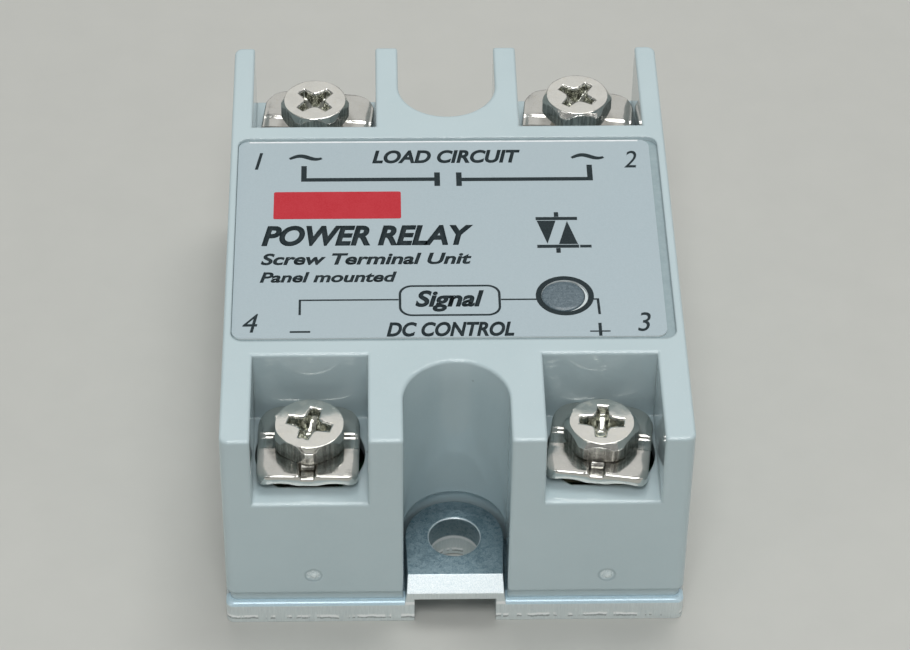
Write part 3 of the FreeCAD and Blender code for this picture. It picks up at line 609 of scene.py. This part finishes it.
    # painted highlight: a pale crescent in the gap on one side of the window's hole, where the clear rim catches the
    # light
    bm = bmesh.new()
    a0, a1, k = -1.95, 0.95, 40
    outer = [(cx + 2.285 * math.cos(a0 + (a1 - a0) * i / k), cy + 2.285 * math.sin(a0 + (a1 - a0) * i / k)) for i in range(k + 1)]
    inner = [(cx + (2.285 - 0.05 - 0.27 * math.sin(math.pi * i / k)) * math.cos(a0 + (a1 - a0) * i / k),
              cy + (2.285 - 0.05 - 0.27 * math.sin(math.pi * i / k)) * math.sin(a0 + (a1 - a0) * i / k)) for i in range(k + 1)]
    prism(bm, outer + inner[::-1], 23.78, 24.22)
    add_mesh("window_rim_highlight", bm, simple("window_rim_highlight_paint", (0.60, 0.66, 0.68), (0.66, 0.72, 0.73), 0.8, (0.18, 0.3)))
    # the window's raised face, a shallow dome set a little to the left in its hole
    bm = bmesh.new()
    rings = [(2.12, 23.77), (2.12, 24.20), (2.09, 24.27), (2.03, 24.31), (1.6, 24.335), (0.9, 24.35), (0.4, 24.355)]
    rows = [[bm.verts.new(((10.86 + r * math.cos(2 * math.pi * i / n)) * MM, (-9.44 + r * math.sin(2 * math.pi * i / n)) * MM, z * MM)) for i in range(n)] for r, z in rings]
    for a, b in zip(rows, rows[1:]):
        for i in range(n):
            bm.faces.new((a[i], a[(i + 1) % n], b[(i + 1) % n], b[i]))
    bm.faces.new(rows[0][::-1])
    bm.faces.new(rows[-1])
    add_mesh("window_face", bm, MATS["window_plastic"], smooth_deg=40)
    bm = bmesh.new()
    prism(bm, rect(-16.02, -14.65, -14.02, -14.41), lo, hi)
    add_mesh("print_minus", bm, INK)
    bm = bmesh.new()
    prism(bm, [(13.24, -14.62), (13.24, -14.79), (14.10, -14.79), (14.10, -15.36), (14.42, -15.36), (14.42, -14.79), (15.24, -14.79), (15.24, -14.62),
               (14.42, -14.62), (14.42, -13.52), (14.10, -13.52), (14.10, -14.62)], lo, hi)
    add_mesh("print_plus", bm, INK)
    letters("print_control_caption", "DC CONTROL", -6.6, 5.85, -15.28, 2.02, 0.034, 0.26)


graphics()


# ------------------------------------------------------------------ clamp washers and screws
SEAT = 0.02
WASHER_TOP = 1.25
TERMINALS = {
    1: dict(x=-13.95, y=23.9, pad=17.88, size=11.1, wide=11.75, corner=2.35, head=0.0, cross=43.5, wash=-6.0, gap=1.05, dx=0.12, dy=-0.10, top_r=3.20, out=3.62, seed=1.3),
    2: dict(x=13.95, y=23.9, pad=17.88, size=11.1, wide=11.75, corner=2.35, head=5.0, cross=53.0, wash=-6.0, gap=1.60, dx=0.12, dy=-0.10, top_r=3.18, out=3.70, seed=2.9),
    3: dict(x=14.1, y=-23.15, pad=16.93, size=9.85, wide=9.85, corner=2.45, head=-5.0, cross=-6.2, wash=-8.0, gap=0.0, dx=-0.05, dy=-0.17, top_r=3.06, out=3.66, seed=4.1),
    4: dict(x=-14.1, y=-23.15, pad=16.93, size=9.85, wide=9.85, corner=2.45, head=30.0, cross=-17.0, wash=-1.0, gap=0.0, dx=-0.12, dy=-0.12, top_r=3.28, out=3.60, seed=6.6),
}


def ease(a, b, v):
    t = np.clip((v - a) / (b - a), 0, 1)
    return t * t * (3 - 2 * t)


def lines(marks, step):
    """Grid lines through the marks, closer together near them and at most step apart."""
    marks = sorted(marks)
    out = [marks[0]]
    for a, b in zip(marks, marks[1:]):
        n = max(1, int(math.ceil((b - a) / step)))
        out += [a + (b - a) * (i + 1) / n for i in range(n)]
    return np.array(out)


def from_arrays(name, verts, faces, mat, turn, x, y, z, recess=None):
    a = math.radians(turn)
    v = np.array(verts, float)
    c, s = math.cos(a), math.sin(a)
    w = np.stack([v[:, 0] * c - v[:, 1] * s + x, v[:, 0] * s + v[:, 1] * c + y, v[:, 2] + z], 1) * MM
    me = bpy.data.meshes.new(name)
    me.from_pydata(w.tolist(), [], faces)
    me.update()
    if recess is not None:
        at = me.attributes.new("recess", "FLOAT", "POINT")
        at.data.foreach_set("value", np.asarray(recess, np.float32))
    bm = bmesh.new()
    bm.from_mesh(me)
    bmesh.ops.recalc_face_normals(bm, faces=bm.faces)
    for f in bm.faces:
        f.smooth = True
    bm.to_mesh(me)
    bm.free()
    o = bpy.data.objects.new(name, me)
    SCENE.collection.objects.link(o)
    paint(o, mat)
    return o


def washer(n):
    """Square clamp washer: a pressed plate with a cross of channels on top, ribs beneath, small front and large rear corners."""
    t = TERMINALS[n]
    half = t["size"] / 2
    rf, rr, arch = 1.15, t["corner"], 0.3
    near = [0.0, 0.015, 0.04, 0.08, 0.13, 0.19, 0.26, 0.36, 0.5, 0.7]
    walls = [0.50, 0.56, 0.61, 0.66, 0.71, 0.77, 0.84, 0.92, 1.02, 1.12]
    ms = [half - d for d in near] + walls + [1.35, 1.9, 2.3]
    gl = lines(sorted(set([-m for m in ms] + ms + [0.0])), 0.24)
    m = len(gl)
    X, Y = np.meshgrid(gl, gl, indexing="ij")
    x, y = X.copy(), Y.copy()
    # distance to the edge before the corners are rounded
    d = half - np.maximum(np.abs(X), np.abs(Y))
    for sx in (-1, 1):
        for sy, r in ((-1, rf), (1, rr)):
            c = half - r
            a = (sx * X - c) / r
            b = (sy * Y - c) / r
            sel = (a > 0) & (b > 0)
            x = np.where(sel, sx * (c + r * a * np.sqrt(np.clip(1 - b * b / 2, 0, 1))), x)
            y = np.where(sel, sy * (c + r * b * np.sqrt(np.clip(1 - a * a / 2, 0, 1))), y)
    x = x + np.sign(x) * (t["wide"] - t["size"]) / 2 * ease(2.2, half - 0.9, np.abs(x))
    # arched rear edge
    y = y - arch * ease(0.2, half, y) * (np.abs(x) / half) ** 2
    w = 0.022 * np.sin(1.3 * x + t["seed"]) * np.cos(1.15 * y - t["seed"]) + 0.006 * np.sin(3.1 * x - t["seed"]) * np.cos(2.7 * y)
    # channels
    ax, ay = np.abs(x), np.abs(y)
    ch_y = (1 - ease(0.60, 0.82, ax)) * ease(2.9, 3.6, ay)
    ch_x = (1 - ease(0.60, 1.05, ay)) * ease(2.6, 3.5, ax) * (0.30 if n < 3 else 0.9)
    ch = np.maximum(ch_x, ch_y)
    R = 0.12
    roll = np.where(d < R, R - np.sqrt(np.clip(R * R - (R - d) ** 2, 0, None)), 0)
    side = np.clip(1 - (half - ax) / 0.95, 0, 1) ** 2 * 0.13 + np.clip(1 - (half - ay) / 0.6, 0, 1) ** 2 * 0.03
    dip = 0.20 * ease(0.50, 1.05, ax / half) ** 1.5 * ease(0.50, 1.05, ay / half) ** 1.5 * np.where(y < 0, 1.0, 0.15)
    lip = 0.035 * np.exp(-((ax - 0.98) / 0.16) ** 2) * (ay > 1.0) + 0.03 * np.exp(-((ay - 1.02) / 0.16) ** 2) * (ax > 1.0)
    top = WASHER_TOP - 0.36 * ch - roll - side - dip + lip * (1 - ch) + w
    # underside: hollow between the ribs and the dipped corners
    def hollow(u):
        x0, x1 = 1.05, half - 0.62
        q = np.clip((u - x0) / (x1 - x0), 0, 1)
        return 0.29 * np.sin(np.pi * q) ** 0.8
    bot = np.maximum(hollow(ax) * ease(1.0, 1.4, ay), hollow(ay) * ease(1.0, 1.4, ax))
    Rb = 0.06
    rollb = np.where(d < Rb, Rb - np.sqrt(np.clip(Rb * Rb - (Rb - d) ** 2, 0, None)), 0)
    bot = np.minimum(bot + rollb + 0.02 * ease(0.4, 1, d), top - 0.35)
    bot = np.maximum(bot, 0.0)
    idx = np.arange(m * m).reshape(m, m)
    verts = np.concatenate([np.stack([x, y, top], -1).reshape(-1, 3), np.stack([x, y, bot], -1).reshape(-1, 3)])
    off = m * m
    faces = []
    for i in range(m - 1):
        for j in range(m - 1):
            a, b, c, e = idx[i, j], idx[i + 1, j], idx[i + 1, j + 1], idx[i, j + 1]
            faces.append((a, b, c, e))
            faces.append((off + e, off + c, off + b, off + a))
    ring = list(idx[:, 0]) + list(idx[-1, 1:]) + list(idx[-2::-1, -1]) + list(idx[0, -2:0:-1])
    for p, q in zip(ring, ring[1:] + ring[:1]):
        faces.append((p, p + off, q + off, q))
    o = from_arrays("washer_pressed_%d" % n, verts, [tuple(int(v) for v in f) for f in faces], MATS["nickel_washer"], 0, 0, 0, 0)
    # punch the hole
    bm = bmesh.new()
    bmesh.ops.create_cone(bm, cap_ends=True, segments=72, radius1=1.92 * MM, radius2=1.92 * MM, depth=6 * MM)
    me = bpy.data.meshes.new("punch")
    bm.to_mesh(me)
    bm.free()
    punch = bpy.data.objects.new("punch", me)
    SCENE.collection.objects.link(punch)
    mod = o.modifiers.new("punch", "BOOLEAN")
    mod.operation, mod.object, mod.solver = "DIFFERENCE", punch, "EXACT"
    bpy.context.view_layer.update()
    done = bpy.data.meshes.new_from_object(o.evaluated_get(bpy.context.evaluated_depsgraph_get()))
    o.modifiers.clear()
    o.data = done
    bpy.data.objects.remove(punch)
    # painted reflection: the zone round the screw's head is darkened as if mirroring the dark head
    if "recess" in done.attributes:
        done.attributes.remove(done.attributes["recess"])
    head_reflection = done.attributes.new("recess", "FLOAT", "POINT")
    for i, v in enumerate(done.vertices):
        far = math.hypot(v.co.x, v.co.y) / MM
        head_reflection.data[i].value = 0.85 * float(ease(4.45, 3.75, far)) if n > 2 else 0.55 * float(ease(4.3, 3.6, far))
    o.data.transform(Matrix.Translation((( t["x"] + t["dx"]) * MM, (t["y"] + t["dy"]) * MM, (t["pad"] + SEAT) * MM)) @ Matrix.Rotation(math.radians(t["wash"]), 4, "Z"))
    shade(o, 50)
    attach(o, "clamp_%d" % n)
    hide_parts("clamp_washer_%d" % n)
    return o


HEAD_AF, HEAD_H = 6.65, 2.2


def soft_min(a, b, k):
    h = np.clip(0.5 + 0.5 * (b - a) / k, 0, 1)
    return b * (1 - h) + a * h - k * h * (1 - h)


def screw(n):
    """Cross-recess screw: a turned head trimmed to a hexagon, a cold-formed recess, a neck and a real helical thread."""
    t = TERMINALS[n]
    seed, top_r, out = t["seed"], t["top_r"], t["out"]
    # ---- top of the head: a square grid eased into a disc, so that its lines run along the recess
    g = 96
    u = np.linspace(-1, 1, g + 1)
    A, B = np.meshgrid(u, u, indexing="ij")
    x = top_r * A * np.sqrt(1 - B * B / 2)
    y = top_r * B * np.sqrt(1 - A * A / 2)
    r = np.hypot(x, y)
    ax, ay = np.abs(x), np.abs(y)
    arm = (0.80 if n > 2 else 0.70) + 0.02 * math.sin(seed)
    bar1 = np.maximum(ax - 2.16, ay - (arm - 0.13 * ax))
    bar2 = np.maximum(ay - 2.12, ax - (arm - 0.13 * ay))
    cross = soft_min(bar1, bar2, 0.42 if n > 2 else 0.66)
    floor = 1.80 - 0.95 * ease(0.25, 1.9, r)
    wall = np.clip(-cross / 0.30, 0, 1) ** 0.85
    dish = 0.035 * (1 - ease(0.0, 0.14, cross)) * (cross > 0)
    z = HEAD_H - floor * wall - dish * (1 - wall)
    z += 0.010 * np.sin(2.1 * x + seed) * np.sin(1.7 * y + 2 * seed) * (1 - wall)
    m = g + 1
    idx = np.arange(m * m).reshape(m, m)
    verts = [np.stack([x, y, z], -1).reshape(-1, 3)]
    faces = []
    for i in range(g):
        for j in range(g):
            faces.append((idx[i, j], idx[i + 1, j], idx[i + 1, j + 1], idx[i, j + 1]))
    ring = np.array(list(idx[:, 0]) + list(idx[-1, 1:]) + list(idx[-2::-1, -1]) + list(idx[0, -2:0:-1]))
    flat = verts[0]
    th = np.arctan2(flat[ring, 1], flat[ring, 0])
    k = len(ring)
    # ---- side of the head
    hexa = math.radians(t["head"] - t["cross"])
    q = (th - hexa) % (math.pi / 3) - math.pi / 6
    hexr = (HEAD_AF / 2 + 0.5 * (out - 3.62)) / np.cos(q)
    nick = sum(a * np.sin(f * th + p * seed) for a, f, p in ((0.012, 7, 1), (0.009, 13, 2.3), (0.006, 29, 3.1), (0.004, 53, 4.7)))
    w0 = top_r + 0.10
    prof = [(top_r + 0.03, -0.006), (top_r + 0.06, -0.020), (top_r + 0.085, -0.045), (w0, -0.08)]
    prof += [(w0 + (out - 0.03 - w0) * i / 12, -0.08 - 0.54 * i / 12) for i in range(1, 13)]
    prof += [(out, -0.66 - 1.28 * i / 16) for i in range(17)]
    prof += [(out - 0.01, -1.98), (out - 0.04, -2.03), (out - 0.09, -2.08), (out - 0.16, -2.13), (out - 0.24, -2.17), (3.25, -2.195), (3.0, -2.2), (2.4, -2.2), (1.4, -2.2)]
    burr_at = {4: math.radians(161), 3: math.radians(147), 1: math.radians(-38), 2: math.radians(-60)}[n] - math.radians(t["cross"])
    size = {4: 0.20, 3: 0.12, 1: 0.05, 2: 0.05}[n]
    dth = (th - burr_at + math.pi) % (2 * math.pi) - math.pi
    burr = size * np.exp(-(dth / 0.075) ** 2)
    last = ring
    base = 0
    for (pr, pz) in prof:
        rr = np.full(k, pr)
        inside = pr < 3.01
        if not inside:
            rr = soft_min(rr, hexr, 0.07)
            fade = math.exp(-((pz + 0.07) / 0.10) ** 2)
            rr = rr + burr * fade + nick * (0.4 + 0.9 * math.exp(-((pz + 0.5) / 0.35) ** 2))
            # vertical drag marks where the flats were trimmed
            on_flat = ease(0.02, 0.10, pr - hexr)
            rr = rr + 0.010 * on_flat * (np.sin(61 * th + seed) * np.sin(37 * th + 2 * seed))
        zz = np.full(k, HEAD_H + pz) + (0.03 * np.exp(-(dth / 0.09) ** 2) if pz > -0.1 else 0)
        new = np.stack([rr * np.cos(th), rr * np.sin(th), zz], 1)
        base = sum(len(v) for v in verts)
        verts.append(new)
        cur = np.arange(base, base + k)
        for i in range(k):
            j = (i + 1) % k
            faces.append((last[i], cur[i], cur[j], last[j]))
        last = cur
    faces.append(tuple(last))
    head_n = sum(len(v) for v in verts)
    # ---- neck and thread, a closed body of its own that starts inside the head
    kk = 72
    tt = np.linspace(0, 2 * math.pi, kk, endpoint=False)
    zs = np.concatenate([[0.35, 0.0, -0.8, -1.6, -2.4, -2.8], np.arange(-2.95, -7.86, -0.07), [-7.92, -7.97, -8.0]])
    last = None
    for zv in zs:
        if zv > -2.9:
            rr = np.full(kk, 1.72)
        else:
            phase = (zv / 0.7 - tt / (2 * math.pi)) % 1.0
            tri = np.clip(1.25 - np.abs(phase - 0.5) * 3.1, 0, 1)
            grow = float(np.clip((-2.9 - zv) / 0.6, 0, 1))
            end = float(np.clip((zv + 8.0) / 0.35, 0, 1))
            rr = 1.60 + (0.39 * tri) * grow * end - 0.22 * (1 - end)
        base = sum(len(v) for v in verts)
        verts.append(np.stack([rr * np.cos(tt), rr * np.sin(tt), np.full(kk, zv)], 1))
        cur = np.arange(base, base + kk)
        if last is not None:
            for i in range(kk):
                j = (i + 1) % kk
                faces.append((last[i], cur[i], cur[j], last[j]))
        else:
            faces.append(tuple(cur))
        last = cur
    faces.append(tuple(last[::-1]))
    # painted shade: vertices sunk into the cross recess are marked for dark colour
    mask = np.zeros(sum(len(v) for v in verts))
    mask[:m * m] = (ease(0.02, 0.30, HEAD_H - z) * (cross < 0.02)).reshape(-1)
    zh = t["pad"] + SEAT + WASHER_TOP + SEAT + t["gap"]
    o = from_arrays("screw_cross_head_%d" % n, np.concatenate(verts), [tuple(int(v) for v in f) for f in faces], MATS["nickel_screw"],
                    t["cross"], t["x"], t["y"], zh, mask)
    shade(o, 60)
    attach(o, "screw_%d" % n)
    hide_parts("terminal_screw_%d" % n)
    return o


for N in TERMINALS:
    washer(N)
    screw(N)


# ------------------------------------------------------------------ floor, light, camera
def stage():
    bm = bmesh.new()
    s = 3.0
    n = 24
    vs = [[bm.verts.new((-s + 2 * s * i / n, -s + 2 * s * j / n, 0.0)) for j in range(n + 1)] for i in range(n + 1)]
    for i in range(n):
        for j in range(n):
            bm.faces.new((vs[i][j], vs[i + 1][j], vs[i + 1][j + 1], vs[i][j + 1]))
    me = bpy.data.meshes.new("floor")
    bm.to_mesh(me)
    bm.free()
    o = bpy.data.objects.new("floor", me)
    SCENE.collection.objects.link(o)
    m = Mat("pale_floor")
    f = m.noise(6.0, 3, 0.6)
    m.set("Base Color", m.mix(m.rng(f, 0.3, 0.7), (0.525, 0.526, 0.497), (0.541, 0.541, 0.511)))
    m.set("Roughness", 0.55)
    m.set("Normal", m.bump(m.noise(0.8, 3, 0.6), 0.08, 0.03))
    paint(o, m)


def area(name, loc, target, w, h, power, colour=(1, 1, 1), spread=180):
    li = bpy.data.lights.new(name, "AREA")
    li.shape = "RECTANGLE"
    li.size, li.size_y = w, h
    li.energy = power
    li.color = colour
    li.spread = math.radians(spread)
    o = bpy.data.objects.new(name, li)
    SCENE.collection.objects.link(o)
    o.location = loc
    o.rotation_mode = "QUATERNION"
    o.rotation_quaternion = (Vector(target) - Vector(loc)).to_track_quat("-Z", "Y")
    return o


def lights():
    w = bpy.data.worlds.new("soft_room")
    SCENE.world = w
    w.use_nodes = True
    t = w.node_tree
    bg = [n for n in t.nodes if n.type == "BACKGROUND"][0]
    tc = t.nodes.new("ShaderNodeTexCoord")
    sep = t.nodes.new("ShaderNodeSeparateXYZ")
    t.links.new(tc.outputs["Generated"], sep.inputs[0])
    rp = t.nodes.new("ShaderNodeValToRGB")
    t.links.new(sep.outputs[2], rp.inputs[0])
    e = rp.color_ramp.elements
    e[0].position, e[0].color = 0.0, (0.30, 0.31, 0.31, 1)
    e[1].position, e[1].color = 1.0, (0.80, 0.81, 0.80, 1)
    mid = e.new(0.45)
    mid.color = (0.52, 0.53, 0.53, 1)
    t.links.new(rp.outputs[0], bg.inputs[0])
    bg.inputs[1].default_value = 0.46
    area("overhead_softbox", (0.10, 0.22, 0.80), (0, 0, 0.01), 0.42, 0.34, 2.35, (1.0, 1.0, 0.985))
    area("rear_panel", (0.0, 0.80, 0.74), (0, 0, 0.01), 1.30, 0.52, 1.0, (1.0, 0.995, 0.97))
    area("front_softbox", (-0.03, -0.43, 0.80), (0, 0, 0.01), 0.30, 0.30, 2.6, (0.985, 1.0, 1.0))
    area("left_fill", (-0.72, -0.58, 0.26), (0, 0, 0.01), 0.42, 0.34, 0.72, (1.0, 0.99, 0.965))
    area("right_fill", (0.72, -0.58, 0.26), (0, 0, 0.01), 0.42, 0.34, 0.72, (1.0, 0.99, 0.965))


def camera():
    cam = bpy.data.cameras.new("camera")
    cam.sensor_fit = "HORIZONTAL"
    cam.sensor_width = 36.0
    cam.lens = 3285.54026 * 36.0 / 910.0
    cam.clip_start, cam.clip_end = 0.01, 20.0
    o = bpy.data.objects.new("camera", cam)
    SCENE.collection.objects.link(o)
    right = Vector((0.99968567, -0.02247601, 0.01110792))
    up = Vector((0.00710892, 0.67899481, 0.73410865))
    back = Vector((-0.02404205, -0.73379893, 0.67894116))
    o.matrix_world = Matrix(((right.x, up.x, back.x, -0.00762221890), (right.y, up.y, back.y, -0.249035243),
                             (right.z, up.z, back.z, 0.242180334), (0, 0, 0, 1)))
    SCENE.camera = o


stage()
lights()
camera()
SCENE.view_settings.view_transform = "Standard"
SCENE.view_settings.look = "None"
SCENE.view_settings.exposure = 0.0
SCENE.view_settings.gamma = 1.0
